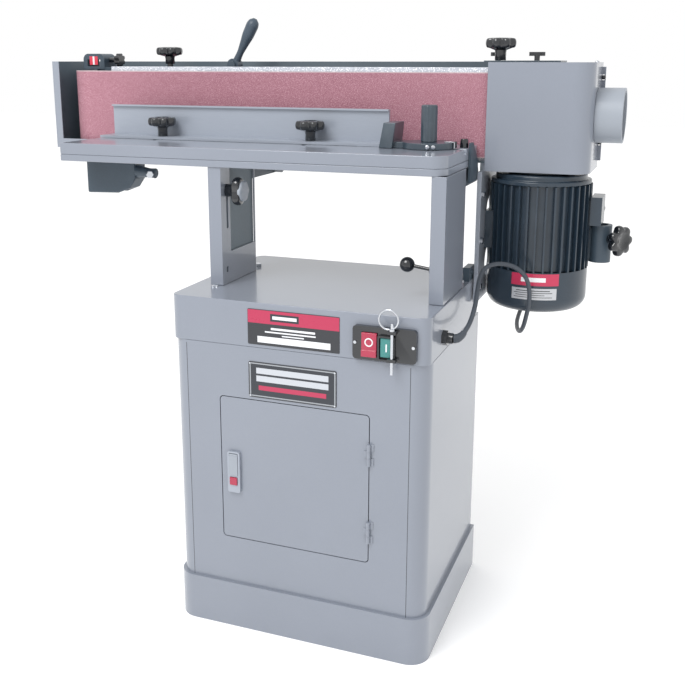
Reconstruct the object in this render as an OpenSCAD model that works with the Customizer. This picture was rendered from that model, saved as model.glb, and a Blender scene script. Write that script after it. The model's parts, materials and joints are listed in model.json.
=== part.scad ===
// Oscillating edge sander on a steel cabinet stand.
// Millimetres, +Z up, the front faces -Y, the drive end is at +X. The origin is the floor centre of the cabinet.

/* [Cabinet] */
// Cabinet width
cab_w = 466; // [420:1:520]
// Cabinet depth
cab_d = 366; // [320:1:420]
// Height of the cabinet top above the floor
cab_top = 618; // [560:1:680]
// Height of the seam under the top cap
cap_z = 539; // [500:1:560]
// Plinth height
plinth_h = 87; // [60:1:120]
// How far the plinth stands proud
plinth_out = 6; // [2:1:12]
// Corner radius of the cabinet's front corners
corner_r = 30; // [12:1:50]
// Door width
door_w = 274; // [240:1:300]
// Door height
door_h = 266; // [220:1:300]
// Bottom of the door
door_z = 177.5; // [150:0.5:200]

/* [Columns and table] */
// Column width across the front
col_w = 25; // [20:1:40]
// Column depth
col_d = 139; // [110:1:160]
// Front plane of the columns
col_y = -94; // [-110:1:-60]
// Outer side of the left column
col_left_x = -200; // [-210:1:-180]
// Outer side of the right column
col_right_x = 231; // [210:1:232]
// Table working height
table_z = 864; // [840:1:880]
// Left end of the table
table_x0 = -507; // [-530:1:-480]
// Right end of the table
table_x1 = 229; // [200:1:229]
// Front edge of the table
table_y0 = -97; // [-110:1:-80]
// Rear edge of the table
table_y1 = 134; // [120:1:134]
// Table casting thickness
table_t = 21; // [15:1:30]
// Under-frame thickness
frame_t = 12; // [8:1:20]
// Fence length
fence_len = 584; // [400:1:640]
// Fence height above the table
fence_h = 63; // [50:1:80]

/* [Belt and head] */
// Belt width
belt_w = 152.4; // [100:0.1:200]
// Belt length round the loop
belt_len = 2260.6; // [2000:0.1:2400]
// Belt thickness
belt_t = 1.5; // [1:0.1:2]
// Inside radius of the belt on a drum
belt_r = 62; // [50:0.5:70]
// Lower edge of the belt
belt_z = 840; // [838:1:850]
// Drive drum axis, left to right
drive_x = 337; // [300:1:360]
// Drum axis, front to back
axis_y = 203; // [190:1:220]
// Top of the head frame
head_top = 1011; // [1000:1:1030]
// Underside of the head frame
head_z = 832; // [826:1:836]

/* [Motor] */
// Radius over the cooling ribs
motor_r = 93; // [80:1:93]
// Underside of the fan cover
motor_z0 = 563; // [540:1:580]
// Outer radius of the dust port
port_r = 49; // [40:1:55]

/* [Hidden] */
$fn = 64;
eps = 0.01;
sheet = 2;
cap_r = 18;
door_x0 = -140;
door_gap = 1.5;
hinge_x = door_x0 + door_w + 1;
hinge_y = -cab_d/2 - 3.5;
face_y = -cab_d/2;
col_top = table_z - table_t - frame_t;
col_wall = 2.5;
knob_y = -70.5;
knob_z = 788;
lever_y = -60;
lever_z = 670.5;
pivot_y = 157;
pivot_z = 811;
pivot_r = 8;
lug_r = 15;
post_inset = 3.5;
post_w = col_w - 2*post_inset;
travel = 58;
fence_x0 = -508;
fence_y = 88;
fence_t = 6;
flange_y = 36;
knob_left_x = -378;
knob_right_x = -66;
fence_knob_y = 58;
slot_y = 40.5;
slot_w = 19.2;
slot_d = 9.5;
mitre_x = 164;
mitre_y = 40;
loop_r = belt_r + belt_t/2;
span = (belt_len - 2*PI*loop_r)/2;
idler_x = drive_x - span;
drum_r = belt_r - 0.3;
drum_z = belt_z + 8;
drum_h = 138;
spindle_r = 14;
shaft_r = 9.5;
axle_r = 10;
arm_lo = belt_z - 1;
arm_hi = drum_z + drum_h + 2;
arm_t = 7;
belt_y = axis_y - belt_r - belt_t;
lip_y = 131.5;
head_back = 279;
house_x0 = 244;
house_x1 = 428;
house_z = 817.6;
house_top = 1010;
house_t = 2.5;
motor_x = drive_x;
port_y = 215;
port_z = 917;
post_x1 = -240;
post_x2 = 100;
guide_r = 8;
lever_x = -290;
tension_z = 1004;
lock_x = -440;
clamp_x = 448;
clamp_y = 222;
clamp_z0 = 649;
clamp_z1 = 718;
clamp_z = 694;
clamp_turn = 35;
pin_x = 176;
door_r = 6;
rib_z0 = 640;
rib_z1 = 795;
cord_r = 4.5;
gland_x = cab_w/2 + 18;
gland_y = -97;
gland_z = 565;

// ---- shared shapes ----

module block(lo, hi) {
  translate(lo)
    cube([hi[0] - lo[0], hi[1] - lo[1], hi[2] - lo[2]]);
}

// outline with rounded front corners and square back corners
module front_round(w, d, r) {
  translate([-w/2, -d/2 + r])
    square([w, d - r]);
  translate([-w/2 + r, -d/2])
    square([w - 2*r, r + eps]);
  for (s = [-1, 1])
    translate([s*(w/2 - r), -d/2 + r])
      circle(r);
}

// outline with four rounded corners, lower left corner at the origin
module round_rect(w, d, r) {
  translate([r, 0])
    square([w - 2*r, d]);
  translate([0, r])
    square([w, d - 2*r]);
  for (x = [r, w - r])
    for (y = [r, d - r])
      translate([x, y])
        circle(r);
}

// upright plate standing on the front of the cabinet, rounded in its own plane
module face_plate(x0, z0, w, h, y0, t, r) {
  translate([x0, y0 + t, z0])
    rotate([90, 0, 0])
      linear_extrude(t)
        round_rect(w, h, r);
}

// rod along a row axis
module rod_x(x0, x1, y, z, r) {
  translate([x0, y, z])
    rotate([0, 90, 0])
      cylinder(h = x1 - x0, r = r);
}

module rod_y(y0, y1, x, z, r) {
  translate([x, y0, z])
    rotate([-90, 0, 0])
      cylinder(h = y1 - y0, r = r);
}

module rod_z(z0, z1, x, y, r) {
  translate([x, y, z0])
    cylinder(h = z1 - z0, r = r);
}

// lobed clamp knob, axis +Z, stem from z = 0 and head above it
module star_knob(stem_r, stem_h, head_r, head_h, lobes) {
  cylinder(h = stem_h, r = stem_r);
  translate([0, 0, stem_h - eps])
    linear_extrude(head_h) {
      circle(head_r*0.7);
      for (i = [0 : lobes - 1])
        rotate(i*360/lobes)
          translate([head_r*0.68, 0])
            circle(head_r*0.32);
    }
}

module hex_head(r, h) {
  cylinder(h = h, r = r, $fn = 6);
}

// ---- cabinet ----

module plinth() {
  color([0.62, 0.66, 0.71])
    difference() {
      linear_extrude(plinth_h)
        front_round(cab_w + 2*plinth_out, cab_d + 2*plinth_out, corner_r + plinth_out);
      translate([0, 0, 3])
        linear_extrude(plinth_h)
          front_round(cab_w - 8, cab_d - 8, corner_r - 4);
      for (x = [-180, 180])
        for (y = [-130, 130])
          translate([x, y, -1])
            cylinder(h = 6, r = 6);
    }
}

module shell_ring(h) {
  linear_extrude(h)
    difference() {
      front_round(cab_w, cab_d, corner_r);
      front_round(cab_w - 2*sheet, cab_d - 2*sheet, corner_r - sheet);
    }
}

module cab_panels() {
  side_x = cab_w/2 - corner_r + 1;
  color([0.62, 0.66, 0.71])
    translate([0, 0, plinth_h]) {
      for (s = [0, 1])
        mirror([s, 0, 0])
          intersection() {
            shell_ring(cap_z - plinth_h);
            block([side_x, -cab_d, -1], [cab_w, cab_d/2 - sheet, cap_z]);
          }
      block([-cab_w/2, cab_d/2 - sheet, 0], [cab_w/2, cab_d/2, cap_z - plinth_h]);
    }
}

module cab_front() {
  side_x = cab_w/2 - corner_r + 1;
  color([0.62, 0.66, 0.71])
    difference() {
      block([-side_x, face_y, plinth_h], [side_x, face_y + sheet, cap_z]);
      face_plate(door_x0 - door_gap, door_z - door_gap, door_w + 2*door_gap, door_h + 2*door_gap,
        face_y - 1, 4, door_r + door_gap);
    }
}

module cab_cap() {
  color([0.64, 0.68, 0.73])
    difference() {
      translate([-cab_w/2, face_y, cap_z])
        linear_extrude(cab_top - cap_z)
          round_rect(cab_w, cab_d, cap_r);
      translate([-cab_w/2 + 3, face_y + 3, cap_z - 1])
        linear_extrude(cab_top - cap_z - 2)
          round_rect(cab_w - 6, cab_d - 6, cap_r - 3);
    }
}

module door_hinges() {
  color([0.62, 0.66, 0.71])
    for (z = [215, 356]) {
      for (k = [0, 26])
        difference() {
          union() {
            rod_z(z + k, z + k + 13, hinge_x, hinge_y, 3.4);
            block([hinge_x, face_y - 1.5, z + k], [hinge_x + 8, face_y, z + k + 13]);
            block([hinge_x + 1, hinge_y, z + k], [hinge_x + 3.4, face_y - 0.5, z + k + 13]);
          }
          rod_z(z - 1, z + 41, hinge_x, hinge_y, 1.5);
        }
      rod_z(z, z + 39, hinge_x, hinge_y, 1.5);
    }
}

module label_plates() {
  color([0.08, 0.08, 0.09]) {
    face_plate(-84, 545, 166, 62, face_y - 0.8, 0.8, 2);
    face_plate(-84, 450, 161, 64, face_y - 0.8, 0.8, 3);
  }
}

module switch_plate() {
  color([0.06, 0.06, 0.07])
    difference() {
      union() {
        face_plate(107, 543, 107, 56, face_y - 8, 8, 6);
        difference() {
          face_plate(151, 545, 29, 42, face_y - 14, 7, 3);
          face_plate(154, 548, 23, 36, face_y - 15, 9, 2);
        }
        for (z = [546, 592])
          block([pin_x - 7, face_y - 20, z], [pin_x + 7, face_y - 7, z + 5]);
      }
      block([122.5, face_y - 9, 548.5], [149.5, face_y + 1, 589.5]);
      block([154.5, face_y - 9, 550.5], [176.5, face_y + 1, 583.5]);
      rod_z(540, 600, pin_x, face_y - 16, 2.9);
    }
}

module switch_box() {
  color([0.15, 0.15, 0.16])
    block([110, face_y + 3, 545], [211, face_y + 55, 597]);
}

module glands() {
  color([0.05, 0.05, 0.05]) {
    difference() {
      union() {
        translate([cab_w/2, gland_y, gland_z])
          rotate([0, 90, 0])
            hex_head(13, 9);
        rod_x(cab_w/2 + 8, gland_x, gland_y, gland_z, 9);
      }
      rod_x(cab_w/2 + 4, gland_x + 1, gland_y, gland_z, cord_r - 0.5);
    }
    difference() {
      union() {
        translate([180, cab_d/2, gland_z])
          rotate([-90, 0, 0])
            hex_head(14, 8);
        rod_y(cab_d/2 + 7, cab_d/2 + 20, 180, gland_z, 10);
      }
      rod_y(cab_d/2 + 4, cab_d/2 + 22, 180, gland_z, 5);
    }
  }
}

module stand_bolts() {
  color([0.72, 0.73, 0.75]) {
    for (x = [111.5, 209.5])
      rod_y(face_y - 10, face_y - 8, x, 571, 2.6);
    for (x = [-81, 74])
      for (z = [453, 511])
        rod_y(face_y - 2, face_y - 0.8, x, z, 1.6);
    for (x = [col_left_x + col_w/2, col_right_x - col_w/2])
      translate([x, 80, cab_top])
        hex_head(7, 6);
  }
}

module tilt_catch() {
  color([0.2, 0.21, 0.22])
    difference() {
      union() {
        block([208, 95, cab_top], [232, 150, cab_top + 6]);
        block([220, 95, cab_top + 5], [232, 135, cab_top + 26]);
        rod_x(192, 234, 115, cab_top + 16, 5);
        rod_x(188, 194, 115, cab_top + 16, 9);
      }
      rod_z(cab_top - 1, cab_top + 8, 214, 142, 3.5);
    }
}

// ---- posts and arms that carry the head ----

module post_frame(x0) {
  y0 = col_y + 10;
  y1 = 42;
  top = 826;
  difference() {
    block([x0, y0, cab_top], [x0 + post_w, y1, top]);
    block([x0 + 4, y0 + 6, cab_top + 22], [x0 + post_w - 4, y1 + 1, top - 66]);
  }
}

module inner_posts() {
  color([0.2, 0.22, 0.24])
    difference() {
      union() {
        post_frame(col_left_x + post_inset);
        post_frame(col_right_x - post_inset - post_w);
      }
      rod_x(col_left_x + 8, col_left_x + col_w, knob_y, knob_z, 3.4);
      rod_x(col_right_x - col_w, col_right_x - 8, lever_y, lever_z, 4.4);
    }
}

// arm from the rear of one post, with its round eye and the pivot pin
module head_arm(x0) {
  arm_w = 14;
  block([x0, 42, 796], [x0 + arm_w, pivot_y, 826]);
  rod_x(x0, x0 + arm_w, pivot_y, pivot_z, lug_r);
}

module head_arms() {
  color([0.16, 0.17, 0.18]) {
    head_arm(col_left_x + 5);
    rod_x(col_left_x + 5, col_left_x + 33, pivot_y, pivot_z, pivot_r);
    head_arm(col_right_x - 20);
    rod_x(col_right_x - 34, col_right_x - 6, pivot_y, pivot_z, pivot_r);
  }
}

// ---- door ----

module door() {
  color([0.62, 0.66, 0.71]) {
    difference() {
      union() {
        face_plate(door_x0, door_z, door_w, door_h, face_y, sheet, door_r);
        block([door_x0 + 14, face_y + sheet - eps, door_z + 14],
          [door_x0 + door_w - 20, face_y + 12, door_z + door_h - 14]);
      }
      block([door_x0 + 16, face_y + sheet, door_z + 16],
        [door_x0 + door_w - 22, face_y + 14, door_z + door_h - 16]);
    }
    for (z = [228.3, 369.3])
      difference() {
        union() {
          rod_z(z, z + 12.4, hinge_x, hinge_y, 3.4);
          block([hinge_x - 9, face_y - 1.5, z], [hinge_x - 1, face_y + eps, z + 12.4]);
          block([hinge_x - 3.4, hinge_y, z], [hinge_x - 1, face_y - 0.5, z + 12.4]);
        }
        rod_z(z - 1, z + 14, hinge_x, hinge_y, 1.55);
      }
  }
}

module latch_body() {
  color([0.1, 0.1, 0.11])
    difference() {
      face_plate(-127, 267, 24, 77, face_y - 6, 6, 4);
      block([-122.3, face_y - 7, 281.7], [-107.7, face_y + 1, 296.3]);
      block([-123.3, face_y - 7, 299.7], [-106.7, face_y - 3, 341]);
    }
}

module latch_paddle() {
  color([0.1, 0.1, 0.11]) {
    block([-123, face_y - 7, 300], [-107, face_y - 3.3, 336.5]);
    rod_x(-123, -107, face_y - 5, 338, 1.9);
    block([-123, face_y - 6.6, 334], [-107, face_y - 3.4, 338]);
  }
}

module latch_button() {
  color([0.75, 0.08, 0.07])
    block([-122, face_y - 8.5, 282], [-108, face_y - 3.5, 296]);
}

// ---- switches ----

module stop_button() {
  color([0.78, 0.06, 0.06])
    union() {
      block([123, face_y - 12, 549], [149, face_y - 4, 589]);
      block([123, face_y - 14, 549], [149, face_y - 11, 560]);
    }
}

module start_button() {
  color([0.05, 0.45, 0.3])
    block([155, face_y - 12, 551], [176, face_y - 4, 583]);
}

module lock_pin() {
  pin_y = face_y - 16;
  ring_r = 16;
  color([0.86, 0.87, 0.88]) {
    rod_z(525, 610, pin_x, pin_y, 2.5);
    rod_z(597.4, 601, pin_x, pin_y, 4.5);
    translate([pin_x - 6, pin_y, 599.5 + ring_r])
      rotate([90, 0, 0])
        rotate_extrude()
          translate([ring_r, 0])
            circle(1.6);
  }
}

// ---- table, columns and fence ----

module table_outline(x0, x1, y0, y1, r) {
  translate([x0, y0])
    square([x1 - x0 - r, y1 - y0]);
  translate([x1 - r - eps, y0 + r])
    square([r + eps, y1 - y0 - r]);
  translate([x1 - r, y0 + r])
    circle(r);
}

module table_top() {
  color([0.66, 0.69, 0.73])
    difference() {
      translate([0, 0, table_z - table_t])
        linear_extrude(table_t)
          table_outline(table_x0, table_x1, table_y0, table_y1, 28);
      block([table_x0 - 1, slot_y - slot_w/2, table_z - slot_d], [table_x1 + 1, slot_y + slot_w/2, table_z + 1]);
      for (x = [knob_left_x, knob_right_x])
        block([x - 4.3, 14, table_z - table_t - 1], [x + 4.3, 104, table_z + 1]);
    }
}

module table_frame() {
  color([0.62, 0.66, 0.71])
    translate([0, 0, col_top])
      linear_extrude(frame_t)
        difference() {
          table_outline(table_x0, table_x1, table_y0, table_y1, 28);
          translate([table_x0 + 16, table_y0 + 16])
            square([col_left_x - table_x0 - 32, table_y1 - table_y0 - 32]);
          translate([col_left_x + col_w + 12, table_y0 + 16])
            square([col_right_x - col_left_x - 2*col_w - 24, table_y1 - table_y0 - 32]);
        }
}

// three-sided column, open at the back
module column_shell(x0) {
  difference() {
    block([x0, col_y, cab_top + 0.5], [x0 + col_w, col_y + col_d, col_top]);
    block([x0 + col_wall, col_y + col_wall, cab_top], [x0 + col_w - col_wall, col_y + col_d + 1, col_top + 1]);
  }
}

module left_column() {
  wx = col_left_x + col_w;
  color([0.6, 0.64, 0.69])
    difference() {
      column_shell(col_left_x);
      block([wx - 4, col_y + 35, 676], [wx + 1, col_y + col_d - 4, col_top - 3]);
      block([wx - 4, knob_y - 3.5, knob_z - travel - 10], [wx + 1, knob_y + 3.5, knob_z + 8]);
      translate([wx - 4, knob_y - 4, 642])
        rotate([0, 90, 0])
          cylinder(h = 6, r = 3.5);
      block([wx - 4, knob_y - 7.5, 642], [wx + 1, knob_y - 0.5, 650]);
    }
}

module right_column() {
  x0 = col_right_x - col_w;
  color([0.6, 0.64, 0.69])
    difference() {
      column_shell(x0);
      block([x0 - 1, lever_y - 5, cab_top], [x0 + 4, lever_y + 5, lever_z + 8]);
    }
}

module end_bracket() {
  color([0.17, 0.19, 0.21])
    difference() {
      translate([0, 20, 0])
        rotate([90, 0, 0])
          linear_extrude(40)
            polygon([[-505, col_top], [-505, 762], [-437, 764], [-410, 774], [-397, 792], [-397, col_top]]);
      block([-497, -12, 754], [-420, 12, 822]);
    }
}

module end_plate() {
  color([0.1, 0.11, 0.12])
    translate([table_x1, 0, 0])
      rotate([90, 0, 90])
        linear_extrude(5)
          polygon([[66, 803], [66, 873], [82, 873], [124, 838], [128, 803]]);
}

module height_knob() {
  wx = col_left_x + col_w;
  color([0.05, 0.05, 0.06]) {
    rod_x(wx - 12, wx + 2, knob_y, knob_z, 3);
    translate([wx + 0.5, knob_y, knob_z])
      rotate([0, 90, 0])
        star_knob(11.5, 17, 26, 15, 3);
  }
  color([0.5, 0.52, 0.54])
    rod_x(wx + 32, wx + 36, knob_y, knob_z, 18);
}

module height_lever() {
  x0 = col_right_x - col_w;
  lean = 82;
  color([0.08, 0.08, 0.09]) {
    rod_x(x0 - 4, x0 + 12, lever_y, lever_z, 4);
    rod_x(x0 - 8, x0 - 0.5, lever_y, lever_z, 7);
    translate([x0 - 6, lever_y, lever_z])
      rotate([0, -lean, 0]) {
        cylinder(h = 36, r = 3);
        translate([0, 0, 42])
          sphere(13);
      }
  }
}

module fence() {
  x1 = fence_x0 + fence_len;
  color([0.72, 0.74, 0.77])
    difference() {
      union() {
        block([fence_x0, fence_y, table_z], [x1, fence_y + fence_t, table_z + fence_h]);
        block([fence_x0, flange_y, table_z], [x1, fence_y + 1, table_z + 5]);
        block([fence_x0, fence_y - 6, table_z + fence_h - 3], [x1, fence_y + 1, table_z + fence_h]);
      }
      for (x = [knob_left_x, knob_right_x])
        rod_z(table_z - 1, table_z + 6, x, fence_knob_y, 4.2);
    }
}

module fence_knob(x) {
  color([0.05, 0.05, 0.06])
    translate([x, fence_knob_y, 0]) {
      rod_z(table_z - 16, table_z + 8, 0, 0, 3.8);
      translate([0, 0, table_z + 5.3])
        star_knob(10, 20, 28, 17, 6);
    }
}

module mitre_bar() {
  color([0.45, 0.47, 0.49])
    block([32, slot_y - 9.3, table_z - 9.2], [200, slot_y + 9.3, table_z - 0.4]);
}

module mitre_head() {
  base_z = table_z + 0.3;
  color([0.12, 0.13, 0.14]) {
    difference() {
      rod_z(base_z, base_z + 11, mitre_x, mitre_y, 46);
      rod_z(base_z - 1, base_z + 12, mitre_x, mitre_y, 5.2);
    }
    intersection() {
      translate([0, 71, 0])
        rotate([90, 0, 0])
          linear_extrude(62)
            polygon([[82, base_z], [106, base_z], [112, base_z + 44], [90, base_z + 44]]);
      translate([80, 0, 0])
        rotate([90, 0, 90])
          linear_extrude(34)
            polygon([[9, base_z], [71, base_z], [65, base_z + 44], [10, base_z + 44]]);
    }
    block([100, 18, base_z], [126, 62, base_z + 11]);
  }
}

module mitre_handle() {
  color([0.16, 0.17, 0.18]) {
    rod_z(table_z, table_z + 14, mitre_x, mitre_y, 5);
    translate([mitre_x, mitre_y, table_z + 11.6])
      cylinder(h = 63, r = 14.5);
  }
}

// ---- head ----

module head_lug(x0, w) {
  difference() {
    union() {
      rod_x(x0, x0 + w, pivot_y, pivot_z, lug_r);
      block([x0, pivot_y - lug_r, pivot_z], [x0 + w, pivot_y + lug_r, head_z + 1]);
    }
    rod_x(x0 - 1, x0 + w + 1, pivot_y, pivot_z, pivot_r + 0.05);
  }
}

module head_frame() {
  t = 3;
  x0 = -683;
  color([0.24, 0.28, 0.3])
    union() {
      difference() {
        union() {
          block([x0, lip_y + t, head_z], [house_x0, head_back, head_z + t]);
          block([house_x0 - 1, lip_y + t, head_z], [house_x1 - 40, head_back - t, head_z + t]);
        }
        rod_z(head_z - 1, head_z + 4, drive_x, axis_y, 30);
      }
      block([x0, head_back - t, head_z], [house_x0, head_back, head_top]);
      block([x0, lip_y, head_z], [x0 + t, head_back, head_top]);
      block([x0, lip_y, head_z], [x0 + 16, lip_y + t, head_top]);
      block([x0, lip_y, head_z], [-525, lip_y + t, head_z + 19]);
      head_lug(col_left_x + 19.5, 12.5);
      head_lug(col_right_x - 33, 12.5);
      for (x = [post_x1, post_x2])
        rod_z(head_z + 1, head_top - 11, x, axis_y, guide_r);
    }
}

module platen() {
  y0 = axis_y - belt_r + 1.8;
  color([0.7, 0.71, 0.73]) {
    block([-545, y0, head_z + 3], [242, y0 + 10, table_z + 137]);
    block([-535, y0 + 9, head_z + 3], [230, y0 + 32, head_z + 11]);
  }
}

module graphite_pad() {
  y1 = axis_y - belt_r + 1.8;
  color([0.12, 0.12, 0.13])
    block([-542, y1 - 1.5, belt_z + 2], [238, y1, belt_z + belt_w - 2]);
}

module housing_plan(inset) {
  r = 35 - inset;
  x0 = house_x0;
  x1 = house_x1 - inset;
  y0 = lip_y + inset;
  y1 = head_back - inset;
  translate([x0, y0])
    square([x1 - x0 - r, y1 - y0]);
  translate([x0, y0 + r])
    square([x1 - x0, y1 - y0 - r]);
  translate([x1 - r, y0 + r])
    circle(r);
}

module drive_housing() {
  color([0.64, 0.68, 0.73])
    difference() {
      union() {
        translate([0, 0, house_z])
          linear_extrude(house_top - house_z)
            housing_plan(0);
        difference() {
          block([house_x1 - 2, head_back - 18, house_z + 14], [house_x1 + 7, head_back - 16, house_top - 8]);
          rod_x(house_x1, house_x1 + 8, port_y, port_z, port_r + 6);
        }
      }
      translate([0, 0, house_z + house_t])
        linear_extrude(house_top - house_z - 2*house_t)
          housing_plan(house_t);
      block([house_x0 - 1, lip_y + house_t, house_z + house_t],
        [house_x0 + 1, head_back - house_t, house_top - house_t]);
      rod_z(house_z - 1, house_z + 4, drive_x, axis_y, 24);
      rod_z(house_top - 4, house_top + 1, drive_x, axis_y, 25);
      rod_x(house_x1 - 5, house_x1 + 1, port_y, port_z, port_r - 3);
      for (z = [house_z + 42, house_top - 32])
        block([house_x1 + 1, head_back - 20, z], [house_x1 + 5, head_back - 14, z + 10]);
    }
}

module cover_plate() {
  color([0.2, 0.21, 0.22])
    block([230, 160, house_top], [366, 246, house_top + 3]);
}

module cover_knobs() {
  color([0.08, 0.08, 0.1])
    for (p = [[242, 232], [318, 203]])
      translate([p[0], p[1], house_top + 3]) {
        cylinder(h = 9, r = 5);
        translate([0, 0, 8])
          linear_extrude(7) {
            square([22, 6], center = true);
            for (s = [-1, 1])
              translate([s*10, 0])
                circle(4.5);
          }
      }
}

module housing_knob() {
  color([0.05, 0.05, 0.06])
    translate([254, 190, house_top + 3.3])
      star_knob(10, 22, 28, 18, 6);
}

module dust_port() {
  color([0.78, 0.77, 0.74])
    difference() {
      union() {
        rod_x(house_x1, house_x1 + 48, port_y, port_z, port_r);
        rod_x(house_x1 - 5, house_x1 + 1, port_y, port_z, port_r - 3.1);
      }
      rod_x(house_x1 - 6, house_x1 + 49, port_y, port_z, port_r - 5.5);
    }
}

// ---- belt and drums ----

module loop(r) {
  translate([idler_x, axis_y])
    circle(r);
  translate([drive_x, axis_y])
    circle(r);
  translate([idler_x, axis_y - r])
    square([span, 2*r]);
}

module belt() {
  color([0.72, 0.45, 0.47])
    translate([0, 0, belt_z])
      linear_extrude(belt_w)
        difference() {
          loop(belt_r + belt_t);
          loop(belt_r);
        }
}

module drum_body(x) {
  translate([x, axis_y, drum_z])
    difference() {
      cylinder(h = drum_h, r = drum_r);
      translate([0, 0, -1])
        cylinder(h = 46, r = drum_r - 8);
      translate([0, 0, drum_h - 45])
        cylinder(h = 46, r = drum_r - 8);
    }
}

module drive_drum() {
  color([0.3, 0.31, 0.33])
    difference() {
      union() {
        drum_body(drive_x);
        rod_z(belt_z - 2, arm_hi + arm_t + 2, drive_x, axis_y, spindle_r);
        rod_z(arm_lo + arm_t + 0.5, arm_hi - 0.5, drive_x, axis_y, 22);
      }
      rod_z(belt_z - 10, head_top, drive_x, axis_y, shaft_r + 0.1);
    }
}

module idler_drum() {
  color([0.3, 0.31, 0.33])
    difference() {
      union() {
        drum_body(idler_x);
        rod_z(arm_lo + arm_t + 0.5, arm_hi - 0.5, idler_x, axis_y, 20);
      }
      rod_z(belt_z - 10, head_top, idler_x, axis_y, axle_r + 0.05);
    }
}

module carriage() {
  beam_x0 = -485;
  beam_x1 = 262;
  color([0.26, 0.3, 0.28])
    difference() {
      union() {
        block([beam_x0, 178, 880], [beam_x1, 228, 952]);
        block([beam_x1 - 12, 183, arm_lo], [beam_x1, 223, arm_hi + arm_t]);
        for (z = [arm_lo, arm_hi])
          block([beam_x1 - 2, 183, z], [drive_x, 223, z + arm_t]);
        for (z = [arm_lo, arm_hi])
          rod_z(z, z + arm_t, drive_x, axis_y, 24);
        rod_z(951, 984, lever_x, axis_y, 10);
        block([lever_x - 8, axis_y - 18, 978], [lever_x + 8, axis_y + 18, 988]);
        for (y = [axis_y - 18, axis_y + 12.4]) {
          block([lever_x - 8, y, 986], [lever_x + 8, y + 5.6, tension_z]);
          rod_y(y, y + 5.6, lever_x, tension_z, 8);
        }
        rod_y(axis_y - 18, axis_y + 18, lever_x, tension_z, 4);
      }
      rod_z(arm_lo - 1, arm_hi + arm_t + 1, drive_x, axis_y, spindle_r + 0.05);
      block([beam_x0 - 1, 182.7, 895.7], [beam_x1 + 1, 223.3, 936.3]);
      for (x = [post_x1, post_x2])
        rod_z(870, 960, x, axis_y, guide_r + 0.05);
    }
}

module idler_yoke() {
  color([0.2, 0.22, 0.24]) {
    union() {
        block([-518, 183, arm_lo], [-506, 223, arm_hi + arm_t]);
        block([-507, 183, 896], [-330, 223, 936]);
        for (z = [arm_lo, arm_hi])
          block([idler_x, 183, z], [-510, 223, z + arm_t]);
        for (z = [arm_lo, arm_hi])
          rod_z(z, z + arm_t, idler_x, axis_y, 20);
        rod_z(arm_lo, arm_hi + arm_t + 1, idler_x, axis_y, axle_r);
    }
    translate([0, axis_y + 22, 0])
      rotate([90, 0, 0])
        linear_extrude(44)
          difference() {
            union() {
              translate([-639, arm_hi + arm_t])
                square([52, 20]);
              translate([-627, arm_hi + arm_t + 18])
                square([28, 14]);
              for (x = [-627, -599])
                translate([x, arm_hi + arm_t + 20])
                  circle(12);
            }
            translate([-629, arm_hi + arm_t + 6])
              square([32, 14]);
          }
    block([-640, 183, arm_hi + arm_t], [-560, 223, arm_hi + arm_t + 4]);
  }
}

module tracking_knob() {
  color([0.08, 0.08, 0.1])
    translate([-586.6, axis_y, arm_hi + arm_t + 19])
      rotate([0, 90, 0])
        star_knob(5, 18, 13.5, 11, 6);
}

module tension_lever() {
  lean = 28;
  color([0.14, 0.17, 0.22])
    translate([lever_x, axis_y, tension_z]) {
      difference() {
        union() {
          rod_y(-12, 12, 0, 0, 13);
          rotate([0, lean, 0])
            cylinder(h = 46, r = 6.5);
        }
        rod_y(-13, 13, 0, 0, 4.05);
      }
      rotate([0, lean, 0]) {
        translate([0, 0, 40])
          cylinder(h = 56, r1 = 8, r2 = 11.5);
        translate([0, 0, 95.9])
          cylinder(h = 6, r1 = 11.5, r2 = 8);
      }
    }
}

module lock_knob() {
  color([0.05, 0.05, 0.06])
    translate([lock_x, axis_y, 952.3]) {
      cylinder(h = 55, r = 6);
      translate([0, 0, 54])
        star_knob(10, 18, 28, 16, 6);
    }
}

// ---- motor ----

module motor_plate() {
  color([0.66, 0.68, 0.7])
    difference() {
      union() {
        block([235, 117, 575], [243, 262, house_z]);
        block([235, lip_y + 6, house_z - 1], [243, 262, head_z]);
      }
      rod_x(230, 250, 203, 640, 30);
      rod_x(230, 250, 203, 735, 30);
    }
}

module motor_frame() {
  ribs = 36;
  z0 = rib_z0;
  z1 = rib_z1;
  color([0.1, 0.12, 0.14])
    difference() {
      union() {
        translate([motor_x, axis_y, z0])
          linear_extrude(z1 - z0) {
            circle(motor_r - 9);
            for (i = [0 : ribs - 1])
              rotate((i + 0.5)*360/ribs)
                translate([motor_r - 12, -1.6])
                  square([12, 3.2]);
          }
        block([243, 160, 672], [262, 246, 742]);
        block([motor_x + 70, 192, 720], [motor_x + motor_r, 240, 764]);
        block([motor_x + 70, clamp_y - 11, 656], [clamp_x - 20, clamp_y + 11, 706]);
      }
      rod_z(z0 - 1, z0 + 16, motor_x, axis_y, motor_r - 15);
      rod_z(z1 - 26, z1 + 1, motor_x, axis_y, motor_r - 15);
      rod_z(z0 - 1, z1 + 1, motor_x, axis_y, shaft_r + 0.05);
      rod_z(z0 + 28, z1 - 25, motor_x, axis_y, 52);
    }
}

module end_bell() {
  z1 = house_z;
  color([0.11, 0.13, 0.15])
    difference() {
      union() {
        rod_z(rib_z1, rib_z1 + 8, motor_x, axis_y, motor_r - 2);
        rod_z(rib_z1 + 7, z1 - 5, motor_x, axis_y, motor_r - 10);
        rod_z(z1 - 6, z1, motor_x, axis_y, 60);
      }
      rod_z(rib_z1 - 1, rib_z1 + 12, motor_x, axis_y, motor_r - 15);
      rod_z(rib_z1 - 1, z1 + 1, motor_x, axis_y, shaft_r + 0.05);
    }
}

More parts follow.
